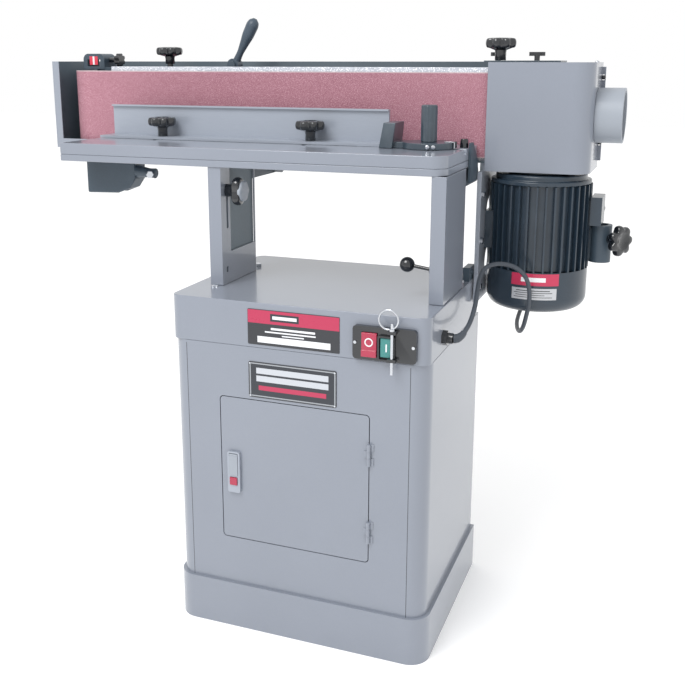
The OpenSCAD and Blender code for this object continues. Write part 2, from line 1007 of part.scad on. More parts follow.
module fan_cover() {
  r = motor_r - 1;
  h = rib_z0 - motor_z0;
  edge = 24;
  color([0.12, 0.13, 0.15])
    translate([motor_x, axis_y, motor_z0])
      rotate_extrude()
        difference() {
          union() {
            translate([0, edge])
              square([r, h - edge]);
            square([r - edge, edge + eps]);
            intersection() {
              translate([r - edge, edge])
                circle(edge);
              square([r, h]);
            }
          }
          translate([-1, edge])
            square([r - 1, h]);
          translate([-1, 2])
            square([r - edge + 1, h]);
          intersection() {
            translate([r - edge, edge])
              circle(edge - 2);
            square([r, h]);
          }
        }
}

module rotor() {
  color([0.5, 0.51, 0.53]) {
    rod_z(570, 996, motor_x, axis_y, shaft_r);
    rod_z(rib_z0 + 32, rib_z1 - 33, motor_x, axis_y, 51);
    rod_z(584, 610, motor_x, axis_y, 20);
    for (i = [0 : 6])
      translate([motor_x, axis_y, 586])
        rotate(i*360/7)
          translate([15, -1.5, 0])
            cube([58, 3, 22]);
  }
}

module junction_box() {
  color([0.1, 0.11, 0.12]) {
    block([motor_x + motor_r, 186, 720], [450, 246, 772]);
    rod_y(246, 258, 442, 742, 7.5);
  }
}

module clamp_post() {
  z0 = clamp_z0;
  z1 = clamp_z1;
  color([0.14, 0.15, 0.16])
    difference() {
      union() {
        rod_z(z0, z1, clamp_x, clamp_y, 20);
        difference() {
          block([clamp_x - 20, clamp_y - 12, z0 + 4], [clamp_x, clamp_y + 12, z1 - 6]);
          rod_z(z0, z1, motor_x, axis_y, motor_r);
        }
      }
      rod_z(z0 - 1, z1 + 1, clamp_x, clamp_y, 13);
      translate([clamp_x, clamp_y, clamp_z])
        rotate([0, 90, -clamp_turn])
          cylinder(h = 40, r = 4.3);
    }
}

module clamp_knob() {
  color([0.1, 0.1, 0.12])
    translate([clamp_x, clamp_y, clamp_z])
      rotate([0, 90, -clamp_turn])
        translate([0, 0, 14]) {
          cylinder(h = 8, r = 4);
          translate([0, 0, 6.5])
            star_knob(8, 17, 29, 15, 6);
        }
}

module head_bolts() {
  color([0.76, 0.77, 0.78]) {
    for (z = [605, 690, 776])
      translate([243, 128, z])
        rotate([0, 90, 0])
          hex_head(6.5, 5);
    for (x = [-400, -100, 180])
      translate([x, 166, head_z + 11])
        hex_head(5.5, 4.5);
  }
}

// ---- motor cord: hand-chosen route from the side gland to the junction box ----

cord_pts = [[gland_x, gland_y, gland_z], [258, -94, 566], [264, -80, 571], [269, -55, 585],
  [270, -25, 606], [267, 5, 628], [266, 30, 646], [272, 50, 658], [292, 64, 663], [318, 72, 657],
  [336, 78, 640], [343, 84, 616], [343, 90, 590], [338, 96, 562], [331, 112, 538], [320, 145, 520],
  [307, 195, 512], [298, 245, 514], [298, 290, 528], [312, 318, 562], [348, 330, 610], [392, 332, 660],
  [424, 322, 706], [438, 300, 734], [442, 276, 742], [442, 258, 742]];
cord_steps = 3;
cord_sides = 10;

function spline(a, b, c, d, t) =
  0.5*(2*b + (c - a)*t + (2*a - 5*b + 4*c - d)*t*t + (3*b - a - 3*c + d)*t*t*t);
function at(i) = cord_pts[max(0, min(len(cord_pts) - 1, i))];
function unit(v) = v/norm(v);
cord_path = concat(
  [for (i = [0 : len(cord_pts) - 2])
    for (k = [0 : cord_steps - 1])
      spline(at(i - 1), at(i), at(i + 1), at(i + 2), k/cord_steps)],
  [at(len(cord_pts) - 1)]);
function tangent(i) = unit(cord_path[min(len(cord_path) - 1, i + 1)] - cord_path[max(0, i - 1)]);
function frame_from(n, t) = unit(n - (n*t)*t);
function normals(i, n, out) =
  i == len(cord_path) ? out :
  let (m = frame_from(n, tangent(i)))
  normals(i + 1, m, concat(out, [m]));

module motor_cord() {
  last = len(cord_path) - 1;
  side = normals(0, [0, 0, 1], []);
  points = concat(
    [for (i = [0 : last])
      let (t = i == 0 ? [1, 0, 0] : i == last ? [0, -1, 0] : tangent(i))
      let (n = frame_from(side[i], t))
      let (b = cross(t, n))
      for (k = [0 : cord_sides - 1])
        cord_path[i] + cord_r*(cos(k*360/cord_sides)*n + sin(k*360/cord_sides)*b)],
    [cord_path[0], cord_path[last]]);
  near = (last + 1)*cord_sides;
  faces = concat(
    [for (i = [0 : last - 1])
      for (k = [0 : cord_sides - 1])
        [i*cord_sides + k, i*cord_sides + (k + 1) % cord_sides,
          (i + 1)*cord_sides + (k + 1) % cord_sides, (i + 1)*cord_sides + k]],
    [for (k = [0 : cord_sides - 1])
      [near, (k + 1) % cord_sides, k]],
    [for (k = [0 : cord_sides - 1])
      [near + 1, last*cord_sides + k, last*cord_sides + (k + 1) % cord_sides]]);
  color([0.04, 0.04, 0.05])
    polyhedron(points, [for (f = faces) [for (j = [len(f) - 1 : -1 : 0]) f[j]]]);
}

// ---- build ----

plinth();
cab_panels();
cab_front();
cab_cap();
door_hinges();
label_plates();
switch_plate();
switch_box();
glands();
inner_posts();
head_arms();
stand_bolts();
tilt_catch();
motor_cord();
door();
latch_body();
latch_paddle();
latch_button();
stop_button();
start_button();
lock_pin();
table_top();
table_frame();
left_column();
right_column();
end_bracket();
end_plate();
height_knob();
height_lever();
fence();
fence_knob(knob_left_x);  // fence_knob_l
fence_knob(knob_right_x);  // fence_knob_r
mitre_bar();
mitre_head();
mitre_handle();
head_frame();
platen();
graphite_pad();
drive_housing();
cover_plate();
cover_knobs();
housing_knob();
dust_port();
motor_plate();
motor_frame();
end_bell();
fan_cover();
junction_box();
clamp_post();
clamp_knob();
head_bolts();
rotor();
drive_drum();
carriage();
idler_yoke();
idler_drum();
belt();
tension_lever();
tracking_knob();
lock_knob();
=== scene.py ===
# %% [markdown]
# # Oscillating edge sander on a cabinet stand
# The machine's frame comes from the CAD model: every node has its true size and already rides on its moving
# body. This script gives each surface its finish, softens the cast and folded edges, and makes the pieces
# whose shape is more than a plain solid: lobed clamp knobs, the motor's lead, printed plates and small
# fittings.

import json
import math

import bmesh
import bpy
import numpy as np
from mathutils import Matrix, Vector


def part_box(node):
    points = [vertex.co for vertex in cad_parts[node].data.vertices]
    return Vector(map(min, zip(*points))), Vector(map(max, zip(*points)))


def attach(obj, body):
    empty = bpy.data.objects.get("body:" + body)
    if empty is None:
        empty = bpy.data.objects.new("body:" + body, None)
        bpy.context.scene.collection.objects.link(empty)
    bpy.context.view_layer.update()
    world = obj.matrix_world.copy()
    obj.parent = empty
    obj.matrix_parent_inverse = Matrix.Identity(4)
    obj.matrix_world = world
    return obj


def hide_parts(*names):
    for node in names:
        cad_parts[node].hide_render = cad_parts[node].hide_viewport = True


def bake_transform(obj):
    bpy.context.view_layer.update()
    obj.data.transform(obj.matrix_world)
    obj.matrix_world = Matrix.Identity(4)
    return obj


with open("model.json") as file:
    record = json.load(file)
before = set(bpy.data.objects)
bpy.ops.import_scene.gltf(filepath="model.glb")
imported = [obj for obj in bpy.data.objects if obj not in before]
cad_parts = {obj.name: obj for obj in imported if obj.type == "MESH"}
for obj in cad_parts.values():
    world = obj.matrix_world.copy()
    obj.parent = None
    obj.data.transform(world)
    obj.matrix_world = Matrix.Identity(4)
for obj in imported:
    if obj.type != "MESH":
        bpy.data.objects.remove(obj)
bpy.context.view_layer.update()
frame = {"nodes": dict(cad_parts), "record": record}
joints = {joint["name"]: joint for joint in frame["record"]["behaviour"]["joints"]}


def pivot(name):
    """The point that a turning joint turns about, in metres."""
    return np.array(joints[name]["pos_m"], float)

# %% [markdown]
# ## Camera
# The machine is seen from a little to its right and slightly above, from about one and a half metres in
# front of the cabinet. A near-normal lens keeps the long belt from bulging.

# %% Camera
camera = bpy.data.objects.new("studio_camera", bpy.data.cameras.new("studio_camera"))
bpy.context.scene.collection.objects.link(camera)
camera.location = (0.5983, -1.5769, 1.0128)
camera.rotation_euler = (math.radians(90 - 13.52), 0, math.radians(20.99))
camera.data.sensor_width = 36
camera.data.lens = 49.79
camera.data.shift_x = 0.0195
camera.data.shift_y = -0.079
bpy.context.scene.camera = camera
print("lens", camera.data.lens, "mm")

# %% [markdown]
# ## Mesh helpers
# Most new pieces here are skins: a stack of rings, each ring the same number of points, closed at both ends
# by a single pole point. A turned part, a lobed knob and a bent lead are all skins with different rings.


# %% Skins from rings
def new_piece(name, verts, faces, crease=35):
    """A mesh object from points and faces. Faces that meet below the crease angle shade as one surface."""
    mesh = bpy.data.meshes.new(name)
    mesh.from_pydata(np.asarray(verts).tolist(), [], [list(map(int, f)) for f in faces])
    mesh.validate()
    bm = bmesh.new()
    bm.from_mesh(mesh)
    bmesh.ops.remove_doubles(bm, verts=bm.verts, dist=1e-7)
    bmesh.ops.recalc_face_normals(bm, faces=bm.faces)
    bm.to_mesh(mesh)
    bm.free()
    mesh.shade_smooth()
    mesh.set_sharp_from_angle(angle=math.radians(crease))
    piece = bpy.data.objects.new(name, mesh)
    bpy.context.scene.collection.objects.link(piece)
    return piece


def skin(name, rings, crease=35):
    """Joins ring i to ring i + 1 with quads, and closes each end with a fan round the ring's middle."""
    m, n, _ = rings.shape
    i, k = np.meshgrid(np.arange(m - 1), np.arange(n), indexing="ij")
    a, b = i * n + k, i * n + (k + 1) % n
    quads = np.stack([a, b, b + n, a + n], -1).reshape(-1, 4)
    verts = np.vstack([rings.reshape(-1, 3), rings[0].mean(0), rings[-1].mean(0)])
    k = np.arange(n)
    near = np.stack([np.full(n, m * n), (k + 1) % n, k], -1)
    far = np.stack([np.full(n, m * n + 1), (m - 1) * n + k, (m - 1) * n + (k + 1) % n], -1)
    return new_piece(name, verts, quads.tolist() + near.tolist() + far.tolist(), crease)


def basis(axis):
    """Two unit vectors square to the axis, and the axis itself at unit length."""
    w = np.asarray(axis, float) / np.linalg.norm(axis)
    side = np.array([0.0, 0, 1]) if abs(w[2]) < 0.9 else np.array([0.0, 1, 0])
    u = np.cross(side, w)
    u /= np.linalg.norm(u)
    return u, np.cross(w, u), w


def turned_rings(foot, axis, heights, radii, lobes=0, bite=0.0, weight=None, sides=72, phase=0.0):
    """Rings of a turned part. Between lobes a radius is cut back by bite times weight times a raised sine."""
    u, v, w = basis(axis)
    angle = np.linspace(0, 2 * np.pi, sides, endpoint=False) + phase
    valley = (0.5 - 0.5 * np.cos(lobes * angle)) ** 1.6
    weight = np.zeros(len(radii)) if weight is None else np.asarray(weight)
    r = np.asarray(radii)[:, None] * (1 - bite * weight[:, None] * valley[None, :])
    round_ = u[None, None, :] * np.cos(angle)[None, :, None] + v[None, None, :] * np.sin(angle)[None, :, None]
    return np.asarray(foot) + w * np.asarray(heights)[:, None, None] + r[:, :, None] * round_


def smooth_path(points, steps):
    """A Catmull-Rom curve through every point. Each span is a cubic set by its four neighbours."""
    p = np.asarray(points, float)
    q = np.vstack([p[:1], p, p[-1:]])
    t = (np.arange(steps) / steps)[None, :, None]
    a, b, c, d = (q[k : k + len(p) - 1][:, None, :] for k in range(4))
    curve = 0.5 * (2 * b + (c - a) * t + (2 * a - 5 * b + 4 * c - d) * t**2 + (3 * b - a - 3 * c + d) * t**3)
    return np.vstack([curve.reshape(-1, 3), p[-1:]])


def tube_rings(path, radius, sides=16):
    """Circles carried along a path. Each ring starts where the last one did, turned as little as can be."""
    path = np.asarray(path)
    tangent = np.gradient(path, axis=0)
    tangent /= np.linalg.norm(tangent, axis=1)[:, None]
    normal = np.zeros_like(path)
    start = np.cross(tangent[0], [0.3, 0.2, 1.0])
    normal[0] = start / np.linalg.norm(start)
    for i in range(1, len(path)):
        n = normal[i - 1] - tangent[i] * (normal[i - 1] @ tangent[i])
        normal[i] = n / np.linalg.norm(n)
    other = np.cross(tangent, normal)
    angle = np.linspace(0, 2 * np.pi, sides, endpoint=False)
    radius = np.broadcast_to(np.asarray(radius, float), (len(path),))
    cosine, sine = np.cos(angle)[None, :, None], np.sin(angle)[None, :, None]
    spoke = normal[:, None, :] * cosine + other[:, None, :] * sine
    return path[:, None, :] + radius[:, None, None] * spoke


def middle(node):
    """The middle of a CAD node's box."""
    lo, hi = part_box(node)
    return (np.asarray(lo) + np.asarray(hi)) / 2


print("middle of the table top:", middle("table_top").round(3))


# %% [markdown]
# ## Motor lead
# A round rubber lead of 8 mm leaves the gland on the cabinet's right side, rises in a loop, drops in front
# of the motor, passes under it and comes up behind into the junction box. It is a tube carried along the
# same route as the CAD solid. On the machine its left end stays in the gland when the head tilts and its
# right end goes with the motor; here the sleeve at the gland rides on the stand and the sleeve at the motor
# rides on the head, while the lead between them is one fixed tube that does not bend.

# %% Motor lead
lead_route = np.array([
    (251, -97, 565), (258, -94, 566), (264, -80, 571), (269, -55, 585), (270, -25, 606), (267, 5, 628),
    (266, 30, 646), (272, 50, 658), (292, 64, 663), (318, 72, 657), (336, 78, 640), (343, 84, 616),
    (343, 90, 590), (338, 96, 562), (331, 112, 538), (320, 145, 520), (307, 195, 512), (298, 245, 514),
    (298, 290, 528), (312, 318, 562), (348, 330, 610), (392, 332, 660), (424, 322, 706), (438, 300, 734),
    (442, 276, 742), (442, 258, 742)]) / 1000
lead_path = smooth_path(lead_route, 10)
lead_r = 0.0040
relief_length = 0.026
relief_gap = 0.0005
relief_thick, relief_thin = 0.0082, 0.0052
lead = skin("motor_lead", tube_rings(lead_path, lead_r))
steps = np.linalg.norm(np.diff(lead_path, axis=0), axis=1)
lead_length = float(steps.sum())
along = np.concatenate([[0], np.cumsum(steps)])


def relief(name, near, far, big, small):
    """A ribbed sleeve on the lead: its radius tapers, with a shallow groove every 3 mm."""
    s = np.linspace(near, far, 60)
    path = np.stack([np.interp(s, along, lead_path[:, c]) for c in range(3)], -1)
    t = (s - near) / (far - near)
    taper = big + (small - big) * t
    groove = 0.0005 * (0.5 - 0.5 * np.cos(2 * np.pi * (s - near) / 0.003))
    return skin(name, tube_rings(path, np.maximum(taper - groove, lead_r + 0.0002), 24))


relief_low = relief("lead_relief_cabinet", relief_gap, relief_length, relief_thick, relief_thin)
relief_high = relief("lead_relief_motor", lead_length - relief_length, lead_length - relief_gap, relief_thin,
                     relief_thick)
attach(relief_low, "stand")
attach(relief_high, "head")
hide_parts("motor_cord")
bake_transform(lead)
lead_pieces = [lead, relief_low, relief_high]
print("motor lead length", round(lead_length, 3), "m")

# %% [markdown]
# ## Shader groups
# Three effects are shared. Grain is fine unevenness at two sizes. Marks are sparse soft scuffs. A patch is
# a rectangle on a printed plate, given by its middle and half size in the object's own metres.


# %% Shader group tools
def group(name, ins, outs):
    """An empty shader group with its sockets: the tree, its input node and its output node."""
    g = bpy.data.node_groups.new(name, "ShaderNodeTree")
    for n, kind, value in ins:
        s = g.interface.new_socket(name=n, in_out="INPUT", socket_type=kind)
        s.default_value = value
    for n, kind in outs:
        g.interface.new_socket(name=n, in_out="OUTPUT", socket_type=kind)
    return g, g.nodes.new("NodeGroupInput"), g.nodes.new("NodeGroupOutput")


def add(tree, kind, links=None, **props):
    """A node with its properties set. Links gives each input, by name or number, a socket or a value."""
    node = tree.nodes.new(kind)
    for key, value in props.items():
        setattr(node, key, value)
    for key, value in (links or {}).items():
        if isinstance(value, bpy.types.NodeSocket):
            tree.links.new(value, node.inputs[key])
        else:
            node.inputs[key].default_value = value
    return node


def math_node(tree, operation, a, b=0.0, clamp=False):
    """One sum on two values, each a socket or a number."""
    return add(tree, "ShaderNodeMath", {0: a, 1: b}, operation=operation, use_clamp=clamp).outputs[0]


# %% Grain, marks and patch
FLOAT, VECTOR = "NodeSocketFloat", "NodeSocketVector"
grain, gi, go = group("surface_grain", [("Vector", VECTOR, (0, 0, 0)), ("Fine", FLOAT, 900.0),
                                        ("Broad", FLOAT, 9.0)], [("Tone", FLOAT), ("Height", FLOAT)])
fine = add(grain, "ShaderNodeTexNoise", {"Vector": gi.outputs[0], "Scale": gi.outputs[1], "Detail": 3.0})
broad = add(grain, "ShaderNodeTexNoise", {"Vector": gi.outputs[0], "Scale": gi.outputs[2], "Detail": 4.0})
mixed = math_node(grain, "MULTIPLY", fine.outputs[0], 0.35)
tone = math_node(grain, "MULTIPLY_ADD", broad.outputs[0], 0.65)
grain.links.new(mixed, tone.node.inputs[2])
grain.links.new(tone, go.inputs[0])
grain.links.new(fine.outputs[0], go.inputs[1])

marks, mi, mo = group("soft_marks", [("Vector", VECTOR, (0, 0, 0)), ("Scale", FLOAT, 14.0),
                                     ("Amount", FLOAT, 0.5)], [("Mask", FLOAT)])
spread = add(marks, "ShaderNodeTexNoise", {"Vector": mi.outputs[0], "Scale": mi.outputs[1], "Detail": 8.0})
cut = math_node(marks, "SUBTRACT", spread.outputs[0], 0.58)
cut = math_node(marks, "MULTIPLY", cut, 6.0, clamp=True)
marks.links.new(math_node(marks, "MULTIPLY", cut, mi.outputs[2]), mo.inputs[0])

patch, pi_, po = group("plate_patch", [("Vector", VECTOR, (0, 0, 0)), ("Middle", VECTOR, (0, 0, 0)),
                                       ("Half", VECTOR, (0.01, 0.01, 0.01))], [("Mask", FLOAT)])
gap = add(patch, "ShaderNodeVectorMath", {0: pi_.outputs[0], 1: pi_.outputs[1]}, operation="SUBTRACT")
gap = add(patch, "ShaderNodeVectorMath", {0: gap.outputs[0]}, operation="ABSOLUTE")
gap = add(patch, "ShaderNodeVectorMath", {0: pi_.outputs[2], 1: gap.outputs[0]}, operation="SUBTRACT")
axes = add(patch, "ShaderNodeSeparateXYZ", {0: gap.outputs[0]})
least = math_node(patch, "MINIMUM", axes.outputs[0], axes.outputs[1])
least = math_node(patch, "MINIMUM", least, axes.outputs[2])
patch.links.new(math_node(patch, "GREATER_THAN", least, 0.0), po.inputs[0])
print("groups:", [g.name for g in bpy.data.node_groups])

# %% [markdown]
# ## Finishes
# Each finish is a Principled surface whose colour drifts a little between two tones, whose roughness
# follows the same drift, and whose bump is the fine grain. Enamel gets a clear coat, castings a coarse
# orange-peel, and machined steel a stretched grain.


# %% Finish builder
def lin(r, g, b):
    """Display colour, 0 to 255, as linear light: the display curve undone."""
    c = np.array([r, g, b], float) / 255
    c = np.where(c <= 0.04045, c / 12.92, ((c + 0.055) / 1.055) ** 2.4)
    return (*[float(v) for v in c], 1.0)


def blend_colour(tree, factor, a, b):
    """Colour a where the factor is 0 and colour b where it is 1."""
    node = add(tree, "ShaderNodeMix", data_type="RGBA")
    for socket, value in ((node.inputs["Factor"], factor), (node.inputs[6], a), (node.inputs[7], b)):
        if isinstance(value, bpy.types.NodeSocket):
            tree.links.new(value, socket)
        else:
            socket.default_value = value
    return node.outputs[2]


def finish(name, dark, light, rough=(0.35, 0.5), metal=0.0, coat=0.0, fine=900.0, broad=9.0, bump=0.05,
           bump_size=0.0004, stretch=(1, 1, 1), scuff=None, scuff_amount=0.25):
    """Colour between dark and light by grain. Gives the material and what later steps need to add to it."""
    m = bpy.data.materials.new(name)
    m.use_nodes = True
    t = m.node_tree
    shader = t.nodes["Principled BSDF"]
    place = add(t, "ShaderNodeTexCoord").outputs["Object"]
    mapped = add(t, "ShaderNodeMapping", {"Vector": place, "Scale": stretch}).outputs[0]
    g = add(t, "ShaderNodeGroup", node_tree=grain)
    t.links.new(mapped, g.inputs[0])
    g.inputs[1].default_value = fine
    g.inputs[2].default_value = broad
    colour = blend_colour(t, g.outputs[0], dark, light)
    if scuff is not None:
        k = add(t, "ShaderNodeGroup", node_tree=marks)
        t.links.new(place, k.inputs[0])
        k.inputs[2].default_value = scuff_amount
        colour = blend_colour(t, k.outputs[0], colour, scuff)
    t.links.new(colour, shader.inputs["Base Color"])
    r = add(t, "ShaderNodeMapRange", {"Value": g.outputs[0], "To Min": rough[0], "To Max": rough[1]})
    t.links.new(r.outputs[0], shader.inputs["Roughness"])
    shader.inputs["Metallic"].default_value = metal
    shader.inputs["Coat Weight"].default_value = coat
    shader.inputs["Coat Roughness"].default_value = 0.08
    b = add(t, "ShaderNodeBump", {"Height": g.outputs[1], "Strength": bump, "Distance": bump_size})
    t.links.new(b.outputs[0], shader.inputs["Normal"])
    return m, t, shader, place, colour


def paint_patches(made, patches):
    """Lays flat colours over a finish, each inside its own rectangle."""
    m, t, shader, place, colour = made
    for mid, half, tint in patches:
        p = add(t, "ShaderNodeGroup", node_tree=patch)
        t.links.new(place, p.inputs[0])
        p.inputs[1].default_value = mid
        p.inputs[2].default_value = half
        colour = blend_colour(t, p.outputs[0], colour, tint)
    t.links.new(colour, shader.inputs["Base Color"])
    return m


print("enamel mid grey as linear light:", np.round(lin(130, 136, 147)[:3], 3))

# %% The finishes
finishes = {}
enamel_dark, enamel_light = lin(124, 130, 141), lin(135, 141, 153)
finishes["grey_paint"] = finish("blue_grey_enamel", enamel_dark, enamel_light, (0.24, 0.36), coat=0.6,
                                fine=500, broad=5, bump=0.012, scuff=lin(116, 122, 132), scuff_amount=0.08)[0]
finishes["fence_metal"] = finish("satin_plate", lin(144, 151, 163), lin(164, 170, 180), (0.3, 0.42),
                                 metal=0.2, coat=0.2, fine=700, broad=12, bump=0.05, stretch=(0.08, 1, 1))[0]
finishes["dark_casting"] = finish("dark_casting", lin(40, 53, 64), lin(70, 85, 98), (0.38, 0.6), coat=0.15,
                                  fine=350, broad=14, bump=0.3, bump_size=0.0006, scuff=lin(96, 106, 115))[0]
finishes["motor_paint"] = finish("motor_enamel", lin(22, 34, 45), lin(46, 62, 76), (0.24, 0.42), coat=0.35,
                                 fine=420, broad=16, bump=0.2, scuff=lin(70, 82, 92))[0]
finishes["black_plastic"] = finish("black_plastic", lin(10, 12, 16), lin(24, 29, 35), (0.12, 0.24), coat=0.7,
                                   fine=800, broad=25, bump=0.03)[0]
finishes["red_plastic"] = finish("red_plastic", lin(156, 30, 60), lin(174, 46, 76), (0.22, 0.34), coat=0.4,
                                 fine=900, broad=40, bump=0.03)[0]
finishes["green_plastic"] = finish("green_plastic", lin(38, 116, 112), lin(62, 140, 136), (0.22, 0.34),
                                   coat=0.4, fine=900, broad=40, bump=0.03)[0]
finishes["bright_steel"] = finish("bright_steel", lin(178, 182, 188), lin(216, 219, 224), (0.16, 0.3),
                                  metal=1.0, fine=1200, broad=30, bump=0.06)[0]
finishes["bar_steel"] = finish("ground_steel", lin(120, 126, 134), lin(168, 173, 180), (0.25, 0.45),
                               metal=0.9, fine=900, broad=18, bump=0.12, stretch=(0.05, 1, 1))[0]
finishes["mitre_black"] = finish("mitre_black", lin(34, 45, 54), lin(78, 91, 102), (0.25, 0.45), coat=0.3,
                                 fine=500, broad=22, bump=0.2, scuff=lin(110, 118, 126))[0]
finishes["port_grey"] = finish("port_grey", lin(140, 147, 156), lin(156, 162, 171), (0.35, 0.5), coat=0.1,
                               fine=500, broad=10, bump=0.06)[0]
finishes["graphite"] = finish("graphite_cloth", lin(30, 31, 34), lin(52, 53, 56), (0.5, 0.7), fine=1500,
                              bump=0.4)[0]
finishes["cord_rubber"] = finish("lead_rubber", lin(44, 50, 58), lin(78, 85, 94), (0.4, 0.6), fine=1500,
                                 broad=30, bump=0.1)[0]
print("finishes so far:", len(finishes))

# %% [markdown]
# The head's sheet frame is enamelled grey on its end wall and front lips and dark slate everywhere else, so
# one finish takes both by place; the dark inside stands partly for the frame's own dark paint and partly for
# painted shade inside the head. The belt is a coat of rose-coloured grit on cloth: a dense sparkle of light
# and dark grains, a strong fine bump, and paler bands worn along the edges.

# %% Sheet seam
# The cabinet's front sheet ends in a fine dark line beside each rounded corner.
sheet_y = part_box("cab_front")[0][1]
seam_x, seam_z = 0.2035, 0.31
seam_half = (0.0007, 0.004, 0.2245)
seam = finish("blue_grey_front", enamel_dark, enamel_light, (0.24, 0.36), coat=0.6, fine=500, broad=5,
              bump=0.012)
front_sheet = paint_patches(seam, [((side * seam_x, sheet_y, seam_z), seam_half, lin(52, 58, 66))
                                   for side in (-1, 1)])
print("seam lines at x", -seam_x, "and", seam_x)

# %% Head frame, belt and printed plates
head_lo, head_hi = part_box("head_frame")
table_z = float(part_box("table_top")[1][2])
# Painted shade: the dark slate on the frame's inner faces stands partly for its own dark paint and partly for
# the shade inside the head.
slate_and_painted_shade = finish("head_frame_paint_and_shade", lin(62, 74, 83), lin(88, 101, 110), (0.3, 0.45), coat=0.15, fine=450,
               bump=0.1)
grey = lin(138, 144, 155)
finishes["head_paint"] = paint_patches(slate_and_painted_shade, [
    ((head_lo[0], 0.2, 0.92), (0.0008, 0.2, 0.2), grey),
    ((head_lo[0], head_lo[1], 0.92), (0.5, 0.0012, 0.2), grey),
    ((-0.24, head_hi[1], 0.92), (0.9, 0.0008, 0.2), grey)])
platen_painted_glints, t, shader, place, colour = finish("platen_edge_painted_glints", lin(150, 156, 168), lin(214, 217, 224),
                                            (0.25, 0.5), metal=0.5,
                                            fine=700, broad=60, bump=0.9, bump_size=0.0012)
# Painted highlight: white dots over the platen edge's metal colour stand in for glints of light on it.
painted_glint = add(t, "ShaderNodeTexVoronoi", {"Vector": place, "Scale": 420.0})
bright = math_node(t, "LESS_THAN", painted_glint.outputs["Distance"], 0.34)
colour = blend_colour(t, bright, colour, lin(250, 250, 252))
t.links.new(colour, shader.inputs["Base Color"])
# Painted shade: the inner posts seen through the column's window take a darker grey, partly their own colour
# and partly painted shade inside the column.
post_grey_and_shade = finish("post_grey_and_shade", lin(96, 108, 116), lin(134, 145, 151), (0.45, 0.65), fine=300, broad=16,
                   bump=0.2)[0]
lever_paint = finish("lever_paint", lin(44, 56, 68), lin(72, 86, 99), (0.35, 0.5), fine=400, broad=30,
                     bump=0.35, bump_size=0.0008)[0]

grit, t, shader, place, colour = finish("rose_abrasive", lin(124, 72, 88), lin(168, 116, 130), (0.75, 0.92),
                                        fine=1600, broad=5, bump=0.8, bump_size=0.0006)
sparkle = add(t, "ShaderNodeTexVoronoi", {"Vector": place, "Scale": 900.0})
dots = math_node(t, "GREATER_THAN", sparkle.outputs["Distance"], 0.62)
colour = blend_colour(t, dots, colour, lin(196, 152, 162))
high = add(t, "ShaderNodeSeparateXYZ", {0: place}).outputs[2]
belt_lo, belt_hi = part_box("belt")
edge = math_node(t, "ABSOLUTE", math_node(t, "SUBTRACT", high, (belt_lo[2] + belt_hi[2]) / 2))
edge = add(t, "ShaderNodeMapRange", {"Value": edge, "From Min": 0.0735, "From Max": 0.0762, "To Min": 0.0,
                                     "To Max": 0.7}).outputs[0]
t.links.new(blend_colour(t, edge, colour, lin(214, 208, 208)), shader.inputs["Base Color"])
finishes["abrasive"] = grit

plate_lo, plate_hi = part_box("label_plates")
front = (plate_lo[1] + plate_hi[1]) / 2
white, red, black = lin(226, 228, 232), lin(176, 34, 76), lin(28, 34, 44)


def bar(x, z, half_x, half_z, tint):
    """A flat rectangle on the cabinet's front plates."""
    return ((x, front, z), (half_x, 0.01, half_z), tint)


upper = plate_hi[2] - 0.031
lower = plate_lo[2] + 0.032
printed = finish("printed_plate", lin(26, 28, 34), lin(40, 43, 50), (0.22, 0.35), coat=0.4, fine=900,
                 bump=0.03)
finishes["label_black"] = paint_patches(printed, [
    bar(-0.001, upper + 0.0185, 0.0825, 0.0115, red), bar(-0.016, upper + 0.0185, 0.026, 0.0065, black),
    bar(-0.016, upper + 0.0185, 0.022, 0.0028, white), bar(-0.001, upper - 0.001, 0.040, 0.0018, white),
    bar(-0.006, upper - 0.007, 0.046, 0.0012, white), bar(-0.001, upper - 0.012, 0.020, 0.001, white),
    bar(0.0, upper - 0.021, 0.066, 0.0055, white),
    bar(-0.0035, lower, 0.0785, 0.030, lin(150, 154, 160)), bar(-0.0035, lower, 0.0765, 0.028, black),
    bar(-0.0035, lower + 0.0165, 0.066, 0.0052, lin(186, 190, 197)),
    bar(-0.0035, lower + 0.0025, 0.066, 0.0052, lin(186, 190, 197)),
    bar(-0.0035, lower - 0.014, 0.062, 0.0042, red)])
print("finishes:", len(finishes))

# %% [markdown]
# ## Softened edges
# Folded sheet, castings and mouldings never have a knife edge, and the thin bright line along each edge is
# what makes them look solid. Each CAD node below is copied, its triangles merged into whole faces, and a
# small bevel modifier put on the copy, which then stands in for the node.

# %% Bevelled copies of the CAD nodes
slot_of = {s["node"]: s["material_slot"] for s in frame["record"]["subparts"]}
body_of = {n: b for b, nodes in frame["record"]["behaviour"]["bodies"].items() for n in nodes}


def soften(node, width, segments=2):
    """A copy of the node with merged faces and a bevel as wide as the real edge is round."""
    mesh = frame["nodes"][node].data.copy()
    bm = bmesh.new()
    bm.from_mesh(mesh)
    bmesh.ops.remove_doubles(bm, verts=bm.verts, dist=2e-6)
    bmesh.ops.dissolve_limit(bm, angle_limit=math.radians(1.0), verts=bm.verts, edges=bm.edges,
                             use_dissolve_boundaries=False)
    bm.to_mesh(mesh)
    bm.free()
    mesh.materials.clear()
    mesh.shade_smooth()
    mesh.set_sharp_from_angle(angle=math.radians(30))
    piece = bpy.data.objects.new("soft_" + node, mesh)
    bpy.context.scene.collection.objects.link(piece)
    b = piece.modifiers.new("edge_round", "BEVEL")
    b.width = width
    b.segments = segments
    b.limit_method = "ANGLE"
    b.angle_limit = math.radians(40)
    b.harden_normals = True
    b.use_clamp_overlap = True
    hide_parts(node)
    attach(piece, body_of[node])
    mesh.materials.append(finishes[slot_of[node]])
    return piece


